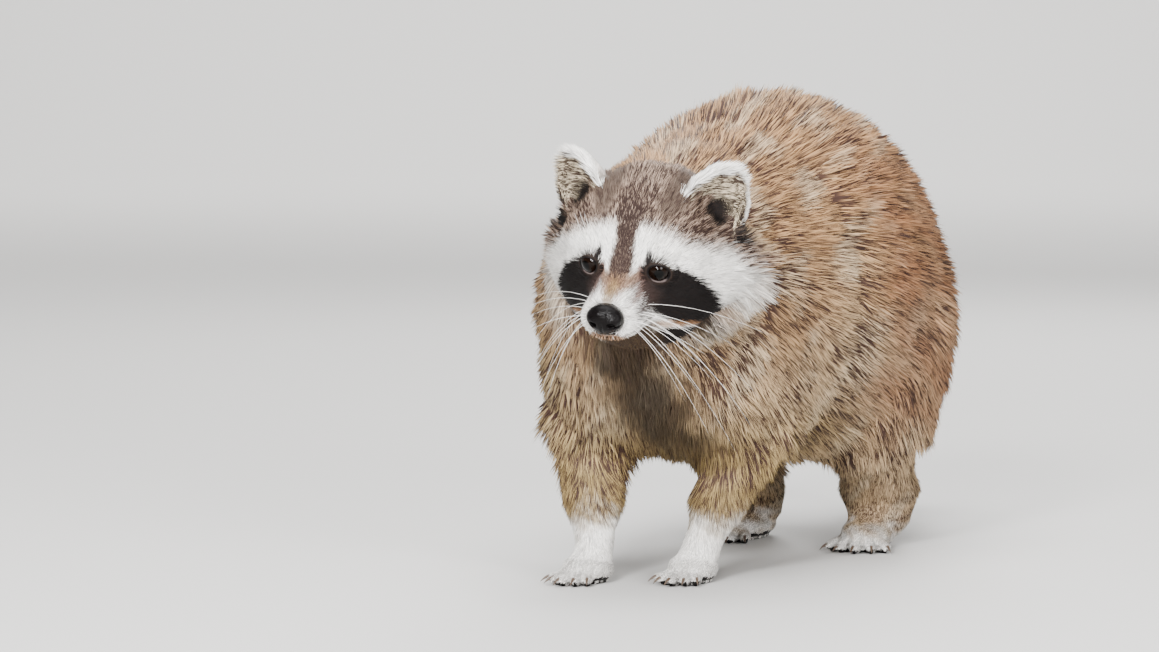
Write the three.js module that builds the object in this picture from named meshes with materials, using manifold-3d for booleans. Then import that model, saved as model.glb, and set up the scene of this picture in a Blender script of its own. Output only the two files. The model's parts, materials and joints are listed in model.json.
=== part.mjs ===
// A life-size standing raccoon, parted into named pieces by thin cuts. Millimetres, +Z up.
// It faces -Y and its left side is +X. The surface is the outline of the coat, out to the hair tips.
//
// Head, neck and trunk are one form: a blend of balls and limbs, as in clay. A form becomes a solid by
// walking along a centre line, finding on each ring how far the form reaches, and lofting a surface
// through the rings. Legs, feet, tail, ears, eyes and nose are made the same way and fitted to it.

import * as THREE from "three";
import { LoftGeometry } from "three/addons/geometries/LoftGeometry.js";
import { mergeVertices } from "three/addons/utils/BufferGeometryUtils.js";
import Module from "manifold-3d";

const wasm = await Module();
wasm.setup();

const rad = THREE.MathUtils.degToRad;
const v = (x, y, z) => new THREE.Vector3(x, y, z);
const SIDES = { left: 1, right: -1 };

// ---------------------------------------------------------------- driving sizes

const GAP = 0.3; // width of the thin cuts between neighbours
const BACK_HEIGHT = 332; // floor to the top of the arched back
const RUMP_HALF_WIDTH = 108;
const CHEST_HALF_WIDTH = 76;
const FRONT_SHIFT = -8; // the fore end stands this far to the animal's right
const HEAD_AT = v(27.5, -210, 224.5); // middle of the head
const HEAD_YAW = rad(4.5); // to the animal's left
const HEAD_PITCH = rad(23); // nose down
const HEAD_ROLL = rad(6); // left side down
const EYE_SPACING = 44;
const EYE_HEIGHT = 9.5; // in the head's frame, along its Z
const EYE_RADIUS = 8;
const EAR_WIDTH = 50;
const EAR_HEIGHT = 37; // above the crown
const EAR_WALL = 3.5;
const MUZZLE_END = -38; // in the head's frame, along its Y
const LIPS_HEIGHT = -18; // in the head's frame, along its Z
const HEAD_END = 34; // in the head's frame, along its Y
const NECK_END = v(0, -130, 204); // on the cut between neck and trunk
const CHEST_END = -38;
const BELLY_END = 74;
const TAIL_RADIUS = 34; // bushy part, coat included
const TAIL_PIECES = 5;

// ---------------------------------------------------------------- forms
// A form is a function from a point to its distance outside the surface, negative inside.

function ball(centre, radii, turn = new THREE.Euler()) {
  const back = new THREE.Quaternion().setFromEuler(turn).invert();
  return (point) => {
    const q = point.clone().sub(centre).applyQuaternion(back).divide(radii);
    const near = q.length();
    const slope = q.divide(radii).length();
    return slope < 1e-9 ? -Math.min(...radii) : (near * (near - 1)) / slope;
  };
}

// A limb tapers from one round end to the other.
function limb(from, to, fromRadius, toRadius) {
  const axis = to.clone().sub(from);
  const length = axis.length();
  axis.normalize();
  const lean = (fromRadius - toRadius) / length;
  const upright = Math.sqrt(1 - lean * lean);
  return (point) => {
    const away = point.clone().sub(from);
    const along = away.dot(axis);
    const off = away.addScaledVector(axis, -along).length();
    const foot = THREE.MathUtils.clamp(along + (off * lean) / upright, 0, length);
    const radius = THREE.MathUtils.lerp(fromRadius, toRadius, foot / length);
    return Math.hypot(off, along - foot) - radius;
  };
}

// Joins forms with a fillet about `soft` wide.
function blend(soft, ...forms) {
  return (point) =>
    forms
      .map((form) => form(point))
      .reduce((a, b) => {
        const h = Math.max(soft - Math.abs(a - b), 0) / soft;
        return Math.min(a, b) - (h * h * soft) / 4;
      });
}

// A form made in a group's own frame, as seen from the frame around it.
function placed(form, matrix) {
  const inverse = matrix.clone().invert();
  return (point) => form(point.clone().applyMatrix4(inverse));
}

const bothSides = (make) => Object.values(SIDES).map(make);

// ---------------------------------------------------------------- from form to solid

// The distance along a ray from inside the form to its surface.
function reach(form, from, direction) {
  const STEP = 3;
  const outside = (distance) => form(from.clone().addScaledVector(direction, distance)) > 0;
  let near = 0;
  let far = STEP;
  while (!outside(far)) {
    near = far;
    far += STEP;
  }
  for (let i = 0; i < 12; i++) {
    const middle = (near + far) / 2;
    if (outside(middle)) far = middle;
    else near = middle;
  }
  return far;
}

// One ring of rays round a point of the centre line, each with the distance it runs inside the form.
function ringOf(form, centre, normal, up, sides) {
  const a = up.clone().addScaledVector(normal, -up.dot(normal)).normalize();
  const b = normal.clone().cross(a);
  const rays = Array.from({ length: sides }, (_, i) => {
    const angle = (2 * Math.PI * i) / sides;
    const out = a.clone().multiplyScalar(Math.cos(angle)).addScaledVector(b, Math.sin(angle));
    return { out, run: reach(form, centre, out) };
  });
  return { centre, rays, thickness: rays.reduce((sum, ray) => sum + ray.run, 0) / sides };
}

// Puts rings along a centre line, closer together where the form is thin, and gives back a function that
// lofts a solid through them, with its surface moved out by `grow`.
function wrap(form, points, { sides, up, pace }) {
  const TIP = 1; // the end rings stop this far short of the surface
  const [start, end] = [
    [points[0], points[1]],
    [points.at(-1), points.at(-2)],
  ].map(([last, next]) => {
    const out = last.clone().sub(next).normalize();
    return last.clone().addScaledVector(out, reach(form, last, out) - TIP);
  });
  const line = new THREE.CatmullRomCurve3([start, ...points, end], false, "centripetal");
  line.arcLengthDivisions = 800;
  const length = line.getLength();
  const rings = [];
  let at = 0;
  while (at < length) {
    const ring = ringOf(form, line.getPointAt(at / length), line.getTangentAt(at / length), up, sides);
    rings.push(ring);
    at += Math.min(pace * ring.thickness + 1.2, Math.max((length - at) * 0.6, 1.5));
  }
  rings.push(ringOf(form, end, line.getTangentAt(1), up, sides));

  return (grow) => {
    const sections = rings.map(({ centre, rays }) =>
      rays.map(({ out, run }) => centre.clone().addScaledVector(out, run + grow)),
    );
    sections[0].forEach((p) => p.addScaledVector(line.getTangentAt(0), -grow));
    sections.at(-1).forEach((p) => p.addScaledVector(line.getTangentAt(1), grow));
    return solid(new LoftGeometry(sections, { capStart: true, capEnd: true }));
  };
}

// A closed three.js geometry as a manifold-3d solid, and back again.
function solid(geometry) {
  const bare = new THREE.BufferGeometry();
  bare.setAttribute("position", geometry.getAttribute("position"));
  bare.setIndex(geometry.index);
  const merged = mergeVertices(bare, 1e-3);
  return new wasm.Manifold(
    new wasm.Mesh({
      numProp: 3,
      vertProperties: merged.getAttribute("position").array,
      triVerts: new Uint32Array(merged.index.array),
    }),
  );
}

function geometryOf(made) {
  const { numProp, numVert, vertProperties, triVerts } = made.getMesh();
  const positions = new Float32Array(numVert * 3);
  for (let i = 0; i < numVert; i++) {
    positions.set(vertProperties.subarray(i * numProp, i * numProp + 3), i * 3);
  }
  const geometry = new THREE.BufferGeometry();
  geometry.setAttribute("position", new THREE.BufferAttribute(positions, 3));
  geometry.setIndex(new THREE.BufferAttribute(triVerts, 1));
  geometry.computeVertexNormals();
  return geometry;
}

function egg(centre, radii, detail, turn = new THREE.Euler()) {
  const sphere = new THREE.SphereGeometry(1, detail, Math.round(detail * 0.6));
  const turned = new THREE.Quaternion().setFromEuler(turn);
  return solid(sphere.applyMatrix4(new THREE.Matrix4().compose(centre, turned, radii)));
}

// What lies ahead of a plane, half a gap away from it.
function ahead(made, normal, point) {
  const n = normal.clone().normalize();
  return made.trimByPlane(n.toArray(), n.dot(point) + GAP / 2);
}

// Both sides of a plane: what lies ahead of it and what lies behind.
function parted(made, normal, point) {
  return [ahead(made, normal, point), ahead(made, normal.clone().negate(), point)];
}

// The largest body, so that no crumb stays beside a cut.
const largest = (made) => made.decompose().reduce((a, b) => (a.volume() > b.volume() ? a : b));

// ---------------------------------------------------------------- materials

const coat = (color, roughness = 0.85) => new THREE.MeshStandardMaterial({ color, roughness, metalness: 0 });
const MATERIALS = {
  back: coat("#8a7868"),
  flank: coat("#a1917f"),
  face: coat("#8d8078"),
  white: coat("#dcd6cb"),
  paw: coat("#cfc8b8"),
  ringDark: coat("#3a322c"),
  ringPale: coat("#a8977f"),
  leather: coat("#1a1618", 0.35),
  eye: coat("#0c0807", 0.08),
};

const raccoon = new THREE.Group();

function add(group, name, made, material) {
  const mesh = new THREE.Mesh(geometryOf(largest(made)), material);
  mesh.name = name;
  group.add(mesh);
}

// ---------------------------------------------------------------- trunk and neck

const front = (x, y, z) => v(FRONT_SHIFT + x, y, z);
const rump = ball(v(0, 90, BACK_HEIGHT - 133), v(RUMP_HALF_WIDTH - 2, 130, 119));
const loin = ball(v(-3, 34, BACK_HEIGHT - 117), v(98, 124, 107));
const belly = ball(v(0, 10, 168), v(100, 132, 93));
const withers = ball(front(0, -62, 202), v(66, 104, 70), new THREE.Euler(rad(12), 0, 0));
const chest = ball(front(0, -94, 184), v(CHEST_HALF_WIDTH - 6, 88, 90));
const shoulders = bothSides((s) => ball(front(48 * s, -98, 165), v(32, 50, 72)));
const elbows = [ball(v(44, -74, 116), v(28, 40, 34)), ball(v(-62, -98, 116), v(27, 38, 34))];
const thighs = bothSides((s) => ball(v(64 * s, 112, 150), v(46, 80, 84)));
const knees = bothSides((s) => ball(v(68 * s, 90, 98), v(34, 46, 42)));
const trunk = blend(
  30,
  blend(60, rump, loin, belly, withers, chest),
  ...shoulders,
  ...thighs,
  ...elbows,
  ...knees,
);

const nape = HEAD_AT.clone().add(v(-4, 22, 4));
const breast = front(0, -118, 190);
const neck = blend(24, limb(nape, breast, 54, 66), limb(HEAD_AT.clone().add(v(-4, 20, -26)), breast, 44, 58));

// ---------------------------------------------------------------- head, in its own frame

const headGroup = new THREE.Group();
headGroup.position.copy(HEAD_AT);
headGroup.rotation.copy(new THREE.Euler(HEAD_PITCH, HEAD_ROLL, HEAD_YAW, "ZXY"));
headGroup.updateMatrix();
raccoon.add(headGroup);

const eyeAt = (s) => v((EYE_SPACING / 2) * s, -32, EYE_HEIGHT);
const skull = blend(
  18,
  ball(v(0, 13, 6), v(48, 45, 38)),
  ball(v(0, 20, 14), v(40, 42, 29)),
  ball(v(0, 8, -24), v(38, 38, 27)),
  ...bothSides((s) => ball(v(41 * s, 20, -17), v(42, 32, 33), new THREE.Euler(0, 0, rad(24 * s)))),
  ...bothSides((s) => ball(v(42 * s, 38, -18), v(35, 28, 32))),
);
const snout = blend(
  9,
  limb(v(0, -14, 10), v(0, -64, -4), 13.5, 8.5),
  ball(v(0, -48, -12), v(19, 30, 14)),
  ...bothSides((s) => ball(v(8.5 * s, -62, -13), v(10.5, 13, 10))),
  ball(v(0, -46, -21), v(13, 24, 8)),
);
const brows = bothSides((s) => ball(v(23 * s, -14, 14), v(17, 15, 11)));
const face = blend(10, snout, skull, ...brows);

// ---------------------------------------------------------------- the body in one piece

const inHead = (x, y, z) => v(x, y, z).applyMatrix4(headGroup.matrix);
const body = blend(26, placed(face, headGroup.matrix), neck, trunk);
const spine = [
  inHead(0, -70, -12),
  inHead(0, -40, -13),
  inHead(-1, -6, -16),
  v(18, -170, 207),
  v(4, -128, 201),
  v(-6, -76, 191),
  v(-4, -10, 188),
  v(0, 100, 194),
  v(0, 190, 194),
];
const bodyShape = wrap(body, spine, { sides: 22, up: v(0, 0, 1), pace: 0.22 });
const bodyGrown = bodyShape(GAP);
let torso = bodyShape(0);

// ---------------------------------------------------------------- eyes, nose and ears

const NOSE_AT = v(0, -74.5, -8);
const noseShape = (grow) => egg(NOSE_AT, v(12.4, 8.4, 10.2).addScalar(grow), 12);
const nostril = (s) => egg(v(5.6 * s, -82.6, -9.5), v(2.6, 4, 2.2), 6);
const socket = (s) => egg(eyeAt(s).add(v(-2 * s, -10.5, 0)), v(10, 7, 8), 8);
const eyeShape = (s, grow) => egg(eyeAt(s), v(1, 1, 1).multiplyScalar(EYE_RADIUS + grow), 10);

// An ear is a cup: one egg with another taken out of its front, sunk in the crown and leaning out.
function earShape(s) {
  const SUNK = 27;
  const height = EAR_HEIGHT + 4;
  const outer = egg(v(0, 0, 0), v(EAR_WIDTH / 2, 13, height), 12);
  const hollow = egg(v(0, -8, -1), v(EAR_WIDTH / 2 - EAR_WALL, 16, height - EAR_WALL), 12);
  const lean = new THREE.Euler(rad(-8), rad(28 * s), rad(24 * s), "ZYX");
  const place = new THREE.Matrix4().compose(
    v(41.5 * s, 12, SUNK),
    new THREE.Quaternion().setFromEuler(lean),
    v(1, 1, 1),
  );
  return outer.subtract(hollow).transform(place.elements);
}

const headFrame = headGroup.matrix.elements;
const bodyInHead = bodyGrown.transform(headGroup.matrix.clone().invert().elements);
torso = torso.subtract(noseShape(GAP).transform(headFrame));
for (const [side, s] of Object.entries(SIDES)) {
  torso = torso.subtract(socket(s).transform(headFrame)).subtract(eyeShape(s, GAP).transform(headFrame));
  add(headGroup, `eye_${side}`, eyeShape(s, 0), MATERIALS.eye);
  add(headGroup, `ear_${side}`, earShape(s).subtract(bodyInHead), MATERIALS.white);
}
add(headGroup, "nose", noseShape(0).subtract(nostril(1)).subtract(nostril(-1)), MATERIALS.leather);

// ---------------------------------------------------------------- thin cuts through the body

const inHeadTurn = (x, y, z) => v(x, y, z).transformDirection(headGroup.matrix);
const [snoutPiece, behindSnout] = parted(torso, inHeadTurn(0, -1, 0), inHead(0, MUZZLE_END, 0));
const [upperLip, jaw] = parted(snoutPiece, inHeadTurn(0, -0.06, 1), inHead(0, -64, LIPS_HEIGHT));
const [headPiece, behindHead] = parted(behindSnout, v(0, -1, 0.5), inHead(0, HEAD_END, 0));
const [neckPiece, behindNeck] = parted(behindHead, v(0, -1, 0.55), NECK_END);
add(raccoon, "muzzle", upperLip, MATERIALS.white);
add(raccoon, "lower_jaw", jaw, MATERIALS.white);
add(raccoon, "head", headPiece, MATERIALS.face);
add(raccoon, "neck", neckPiece, MATERIALS.flank);

// Shoulders and thighs are lifted out of the trunk by rounded cuts.
const LIMB_CUTS = {
  shoulder: (s, grow) => egg(front(74 * s, -94, 132), v(46, 58, 88).addScalar(grow), 12),
  thigh: (s, grow) => egg(v(84 * s, 118, 120), v(56, 84, 102).addScalar(grow), 12),
};
let barrel = behindNeck;
for (const [side, s] of Object.entries(SIDES)) {
  for (const [name, cutter] of Object.entries(LIMB_CUTS)) {
    add(raccoon, `${name}_${side}`, barrel.intersect(cutter(s, 0)), MATERIALS.flank);
    barrel = barrel.subtract(cutter(s, GAP));
  }
}

const [chestPiece, behindChest] = parted(barrel, v(0, -1, 0), v(0, CHEST_END, 0));
const [bellyPiece, rumpPiece] = parted(behindChest, v(0, -1, 0), v(0, BELLY_END, 0));
add(raccoon, "chest", chestPiece, MATERIALS.flank);
add(raccoon, "belly", bellyPiece, MATERIALS.back);
add(raccoon, "rump", rumpPiece, MATERIALS.back);

// ---------------------------------------------------------------- legs

const FORELEGS = {
  left: { elbow: v(45, -78, 108), wrist: v(22, -104, 24), paw: v(20, -114, 0), turn: rad(-4) },
  right: { elbow: v(-62, -104, 108), wrist: v(-43, -136, 24), paw: v(-43, -146, 0), turn: rad(-10) },
};
const HINDLEGS = {
  left: { knee: v(65, 90, 98), hock: v(54, 138, 42), paw: v(53, 118, 0), turn: rad(8) },
  right: { knee: v(-66, 98, 98), hock: v(-54, 154, 42), paw: v(-53, 134, 0), turn: rad(-8) },
};

const HAND = { length: 40, width: 33, height: 21, toe: 18 };
const FOOT = { length: 76, width: 37, height: 25, toe: 16 };

// A foot: a flat-soled pad with five toes fanned out of it, each ending in a claw.
function footShape({ length, width, height, toe }, grow) {
  const TOES = 5;
  const FAN = rad(17); // from one toe to the next
  const TOE_RADIUS = 5.3;
  const CLAW_RADIUS = 1.9;
  const CLAW_LENGTH = 9;
  const CLAW_AHEAD = 4; // its middle, beyond the toe's tip
  const CLAW_HEIGHT = 5.4;
  let made = egg(v(0, 0, height * 0.45), v(width / 2, length / 2, height * 0.62).addScalar(grow), 12);
  for (let i = 0; i < TOES; i++) {
    const place = i - (TOES - 1) / 2;
    const fan = place * FAN;
    const out = v(Math.sin(fan), -Math.cos(fan), 0);
    const tip = out.clone().multiplyScalar(length * 0.38 + toe * (1 - 0.16 * Math.abs(place)));
    const middle = tip.clone().addScaledVector(out, -toe * 0.7).setZ(TOE_RADIUS);
    const radii = v(TOE_RADIUS, toe * 0.9, TOE_RADIUS).addScalar(grow);
    made = made.add(egg(middle, radii, 6, new THREE.Euler(rad(4), 0, fan, "ZYX")));
    const claw = new THREE.ConeGeometry(CLAW_RADIUS + grow, CLAW_LENGTH, 4);
    claw.rotateX(rad(-112)).rotateZ(fan);
    const nail = tip.clone().addScaledVector(out, CLAW_AHEAD);
    made = made.add(solid(claw.translate(nail.x, nail.y, CLAW_HEIGHT)));
  }
  return made.trimByPlane([0, 0, 1], 0);
}

function addFoot(name, size, { paw, turn }) {
  const group = new THREE.Group();
  group.position.copy(paw);
  group.rotation.z = turn;
  group.updateMatrix();
  raccoon.add(group);
  add(group, name, footShape(size, 0), MATERIALS.paw);
  return footShape(size, GAP).transform(group.matrix.elements);
}

function addLeg(name, form, points, foot) {
  const leg = wrap(form, points, { sides: 10, up: v(0, -1, 0), pace: 0.75 });
  add(raccoon, name, leg(0).subtract(bodyGrown).subtract(foot), MATERIALS.flank);
}

for (const [side, leg] of Object.entries(FORELEGS)) {
  const middle = leg.elbow.clone().lerp(leg.wrist, 0.55);
  const palm = leg.paw.clone().setZ(13);
  const form = blend(
    5,
    limb(leg.elbow, middle, 36, 24),
    limb(middle, leg.wrist, 24, 13.5),
    limb(leg.wrist, palm, 14, 12),
  );
  addLeg(`forearm_${side}`, form, [leg.elbow, middle, leg.wrist, palm], addFoot(`hand_${side}`, HAND, leg));
}

for (const [side, leg] of Object.entries(HINDLEGS)) {
  const heel = leg.hock.clone().setZ(22);
  const sole = leg.paw.clone().setZ(14);
  const calf = leg.knee.clone().lerp(leg.hock, 0.55);
  const form = blend(
    8,
    limb(leg.knee, leg.hock, 37, 32),
    limb(leg.hock, heel, 29, 20),
    limb(heel, sole, 19, 13),
  );
  addLeg(`shank_${side}`, form, [leg.knee, calf, leg.hock, heel], addFoot(`foot_${side}`, FOOT, leg));
}

// ---------------------------------------------------------------- tail

const tailPoints = [v(0, 186, 196), v(-4, 250, 170), v(-14, 300, 122), v(-25, 330, 78), v(-34, 344, 50)];
const tailForm = blend(
  4,
  limb(tailPoints[0], tailPoints[1], TAIL_RADIUS - 6, TAIL_RADIUS),
  limb(tailPoints[1], tailPoints[2], TAIL_RADIUS, TAIL_RADIUS),
  limb(tailPoints[2], tailPoints[3], TAIL_RADIUS, TAIL_RADIUS - 3),
  limb(tailPoints[3], tailPoints[4], TAIL_RADIUS - 3, TAIL_RADIUS - 10),
);
const tailLine = new THREE.CatmullRomCurve3(tailPoints);
const tailShape = wrap(tailForm, tailPoints, { sides: 12, up: v(1, 0, 0), pace: 0.7 });
let tailRest = tailShape(0).subtract(bodyGrown);
for (let i = 1; i < TAIL_PIECES; i++) {
  const t = 0.2 + (0.76 * i) / TAIL_PIECES; // the part of the line inside the rump belongs to the first
  const [ring, beyond] = parted(tailRest, tailLine.getTangentAt(t).negate(), tailLine.getPointAt(t));
  add(raccoon, `tail_${i}`, ring, i % 2 ? MATERIALS.ringPale : MATERIALS.ringDark);
  tailRest = beyond;
}
add(raccoon, `tail_${TAIL_PIECES}`, tailRest, MATERIALS.ringDark);

// ---------------------------------------------------------------- the part's own frame

// The origin is on the floor, under the middle of the outline.
const bounds = new THREE.Box3().setFromObject(raccoon, true);
const centre = bounds.getCenter(v(0, 0, 0));
raccoon.position.set(-centre.x, -centre.y, -bounds.min.z);

export default raccoon;
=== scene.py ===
# %% [markdown]
# # A raccoon in its coat
# A museum's raccoon is a form with a skin over it, and the skin carries the coat. This script follows
# that order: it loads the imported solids, which show how far the coat reaches, makes one skin that lies
# inside them by the depth of the fur, and grows the fur from it as many thin solid tufts.
# Every length is in metres, and `mm` makes the small ones easy to read.

# %% Load the frame
import json
import math

import bmesh
import bpy
import numpy as np
from mathutils import Euler, Matrix, Vector
from mathutils.bvhtree import BVHTree
from mathutils.kdtree import KDTree


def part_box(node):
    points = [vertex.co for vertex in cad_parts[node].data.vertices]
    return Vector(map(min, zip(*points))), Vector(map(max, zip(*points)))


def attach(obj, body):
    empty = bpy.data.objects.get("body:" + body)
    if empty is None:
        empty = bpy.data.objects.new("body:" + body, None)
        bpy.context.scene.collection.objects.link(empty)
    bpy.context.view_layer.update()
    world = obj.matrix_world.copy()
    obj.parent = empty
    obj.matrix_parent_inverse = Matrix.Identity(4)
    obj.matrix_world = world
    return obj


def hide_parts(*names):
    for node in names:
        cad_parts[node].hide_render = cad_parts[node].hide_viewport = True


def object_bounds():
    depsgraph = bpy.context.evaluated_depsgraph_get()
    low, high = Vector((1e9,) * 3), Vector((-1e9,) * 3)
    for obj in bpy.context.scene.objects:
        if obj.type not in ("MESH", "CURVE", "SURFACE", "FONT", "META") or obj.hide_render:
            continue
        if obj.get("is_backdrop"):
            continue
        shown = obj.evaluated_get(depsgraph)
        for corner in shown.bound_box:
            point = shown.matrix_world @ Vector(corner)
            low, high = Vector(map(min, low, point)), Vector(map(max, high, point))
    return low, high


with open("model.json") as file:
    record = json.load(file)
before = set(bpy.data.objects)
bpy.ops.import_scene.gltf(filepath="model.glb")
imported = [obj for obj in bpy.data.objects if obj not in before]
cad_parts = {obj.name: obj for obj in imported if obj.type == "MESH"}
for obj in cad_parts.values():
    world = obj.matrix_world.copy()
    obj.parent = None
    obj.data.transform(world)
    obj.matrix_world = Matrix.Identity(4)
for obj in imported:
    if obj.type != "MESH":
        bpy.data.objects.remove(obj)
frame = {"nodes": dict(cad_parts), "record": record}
cad_low, cad_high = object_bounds()
nodes = frame["nodes"]
mm = 0.001
SIDES = {"left": 1, "right": -1}
rng = np.random.default_rng(11)
print("solids:", len(nodes), "box:", [round(x, 3) for x in (*cad_low, *cad_high)])

# %% [markdown]
# ## Camera, floor and light
# The camera stands low and a few metres off, with a long lens, so the head and the body keep their
# true proportions. The light is soft: one wide lamp overhead, a smaller and stronger one from the left
# of the camera that models the face, one from the right, and one from behind that catches the hair
# tips along the outline. A small lamp just over the camera gives the eyes and the nose their bright
# points. The last one lights only the floor far behind.

# %% Camera, floor and lamps
CAMERA_AT = (1.2117, -2.7619, 0.3656)
CAMERA_AIM = (-0.0609, -0.1633, 0.1714)
LENS, SENSOR = 132.5, 36  # the focal length and the width of the film, in millimetres


def object_of(name, data):
    made = bpy.data.objects.new(name, data)
    bpy.context.scene.collection.objects.link(made)
    return made


def aimed(name, data, place, aim):
    made = object_of(name, data)
    made.location = place
    made.rotation_euler = (Vector(aim) - made.location).to_track_quat("-Z", "Y").to_euler()
    return made


def mesh_of(name, bm):
    mesh = bpy.data.meshes.new(name)
    bm.to_mesh(mesh)
    bm.free()
    return mesh


camera = aimed("camera", bpy.data.cameras.new("camera"), CAMERA_AT, CAMERA_AIM)
camera.data.lens, camera.data.sensor_width = LENS, SENSOR
bpy.context.scene.camera = camera

FLAT, BEND, WALL = 8.0, 3.0, 2.0  # the floor curves up into a wall all round
BEND_STEPS, ROUND_STEPS = 12, 96
profile = [(0, 0), (FLAT, 0)]
for step in range(1, BEND_STEPS + 1):
    turn = math.radians(90 * step / BEND_STEPS)
    profile.append((FLAT + BEND * math.sin(turn), BEND * (1 - math.cos(turn))))
profile.append((FLAT + BEND, BEND + WALL))
bm = bmesh.new()
line = [bm.verts.new((x, 0, z)) for x, z in profile]
line_edges = [bm.edges.new(pair) for pair in zip(line, line[1:])]
around = {"axis": (0, 0, 1), "cent": (0, 0, 0), "angle": 2 * math.pi, "steps": ROUND_STEPS}
bmesh.ops.spin(bm, geom=line + line_edges, **around)
bmesh.ops.remove_doubles(bm, verts=bm.verts, dist=mm)
for face in bm.faces:
    face.smooth = True
floor = object_of("floor", mesh_of("floor", bm))
pale = bpy.data.materials.new("pale floor")
pale.use_nodes = True
pale.node_tree.nodes["Principled BSDF"].inputs["Base Color"].default_value = (0.6, 0.59, 0.575, 1)
pale.node_tree.nodes["Principled BSDF"].inputs["Roughness"].default_value = 0.85
floor.data.materials.append(pale)
floor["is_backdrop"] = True

SUBJECT = (0, -0.05, 0.18)
LAMPS = {  # place, aim, width and watts
    "overhead": ((0.2, -0.7, 2.4), SUBJECT, 1.9, 87),
    "key": ((0.4, -3.1, 1.6), SUBJECT, 0.65, 150),
    "fill": ((2.6, -1.8, 1.2), SUBJECT, 1.2, 85),
    "eye light": ((1.0, -3.0, 0.85), SUBJECT, 0.55, 70),
    "rim": ((-0.6, 2.4, 1.9), SUBJECT, 1.6, 60),
    "backdrop": ((-3.2, 7.0, 4.5), (-3.2, 7.0, 0), 5.0, 520),
}
for name, (place, aim, width, watts) in LAMPS.items():
    lamp = aimed(name, bpy.data.lights.new(name, "AREA"), place, aim)
    lamp.data.shape, lamp.data.size, lamp.data.energy = "DISK", width, watts

world = bpy.data.worlds.new("pale room")
world.use_nodes = True
air = world.node_tree.nodes["Background"].inputs
air["Color"].default_value, air["Strength"].default_value = (0.9, 0.9, 0.9, 1), 0.5
bpy.context.scene.world = world
print("lamps:", ", ".join(LAMPS))

# %% [markdown]
# ## The head's own frame
# The head is turned, pitched and rolled, but its markings and features are easiest to describe as if it
# looked straight ahead. The eyes and the nose of the solids are at known places in that straight frame,
# so their boxes give the head's three axes: X to its left, Y backwards, Z up.

# %% Find the head's frame
EYE_AT = (22.0, -32.0, 9.5)  # in the head's frame, in millimetres, as are the next two
NOSE_AT = (0.0, -74.5, -8.0)
EAR_AT = (41.5, 12.0, 27.0)


def middle_of(node):
    low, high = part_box(node)
    return np.array((low + high) / 2)


def mirrored(place, s):
    """A place given for the left side, on the side of sign s."""
    return np.array(place) * (s, 1, 1)


eye_line = (middle_of("eye_left") + middle_of("eye_right")) / 2
head_x = middle_of("eye_left") - middle_of("eye_right")
head_x /= np.linalg.norm(head_x)
to_nose = middle_of("nose") - eye_line
to_nose -= head_x * (to_nose @ head_x)
to_nose /= np.linalg.norm(to_nose)
angle = math.atan2(NOSE_AT[2] - EYE_AT[2], NOSE_AT[1] - EYE_AT[1])
across = np.cross(head_x, to_nose)
head_y = math.cos(angle) * to_nose - math.sin(angle) * across
head_z = math.sin(angle) * to_nose + math.cos(angle) * across
HEAD_AXES = np.stack([head_x, head_y, head_z], axis=1)
HEAD_MIDDLE = eye_line - HEAD_AXES @ (np.array([0, EYE_AT[1], EYE_AT[2]]) * mm)


def in_head(points):
    """World points in the head's frame, in millimetres."""
    return (np.asarray(points) - HEAD_MIDDLE) @ HEAD_AXES / mm


def from_head(points):
    return np.asarray(points) * mm @ HEAD_AXES.T + HEAD_MIDDLE


print("head at", HEAD_MIDDLE.round(4), "nose checks at", in_head(middle_of("nose")).round(1))

# %% [markdown]
# ## Working on a mesh as arrays
# A coat has far too many points to visit one by one, so the shaping below works on whole arrays of
# points at once. These helpers read a mesh into arrays, find its normals, and even values out over it.

# %% Array helpers


def unit(vectors):
    return vectors / np.maximum(np.linalg.norm(vectors, axis=-1, keepdims=True), 1e-12)


def smoothstep(low, high, x):
    t = np.clip((x - low) / (high - low), 0, 1)
    return t * t * (3 - 2 * t)


def mixed(a, b, share):
    """From a to b, by each row's share."""
    return a + (b - a) * np.asarray(share)[..., None]


def dot(a, b):
    """Row by row, or each row of a with the one vector b."""
    return np.einsum("ij,ij->i" if np.ndim(b) == 2 else "ij,j->i", a, b)


def points_of(mesh):
    flat = np.empty(len(mesh.vertices) * 3)
    mesh.vertices.foreach_get("co", flat)
    return flat.reshape(-1, 3)


def numbers_of(items, field, columns):
    flat = np.empty(len(items) * columns, np.int32)
    items.foreach_get(field, flat)
    return flat.reshape(-1, columns)


def normals_of(points, triangles):
    a, b, c = (points[triangles[:, i]] for i in range(3))
    faces = np.cross(b - a, c - a)
    total = np.zeros_like(points)
    for corner in range(3):
        for axis in range(3):
            total[:, axis] += np.bincount(triangles[:, corner], faces[:, axis], len(points))
    return unit(total)


def evened(values, edges, rounds):
    """Moves each vertex's value towards the mean of its neighbours', round after round."""
    flat = values.reshape(len(values), -1).astype(float)
    count = np.maximum(np.bincount(edges.ravel(), minlength=len(flat)), 1)
    for _ in range(rounds):
        for column in flat.T:
            total = np.bincount(edges[:, 0], column[edges[:, 1]], len(flat))
            total += np.bincount(edges[:, 1], column[edges[:, 0]], len(flat))
            column += 0.6 * (total / count - column)
    return flat.reshape(values.shape)


def move_points(mesh, points):
    mesh.vertices.foreach_set("co", np.asarray(points, np.float32).ravel())
    mesh.update()


def mesh_from(name, points, triangles):
    mesh = bpy.data.meshes.new(name)
    mesh.vertices.add(len(points))
    move_points(mesh, points)
    mesh.loops.add(len(triangles) * 3)
    mesh.loops.foreach_set("vertex_index", np.asarray(triangles, np.int32).ravel())
    mesh.polygons.add(len(triangles))
    mesh.polygons.foreach_set("loop_start", np.arange(0, len(triangles) * 3, 3, dtype=np.int32))
    mesh.update(calc_edges=True)
    return mesh


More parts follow.
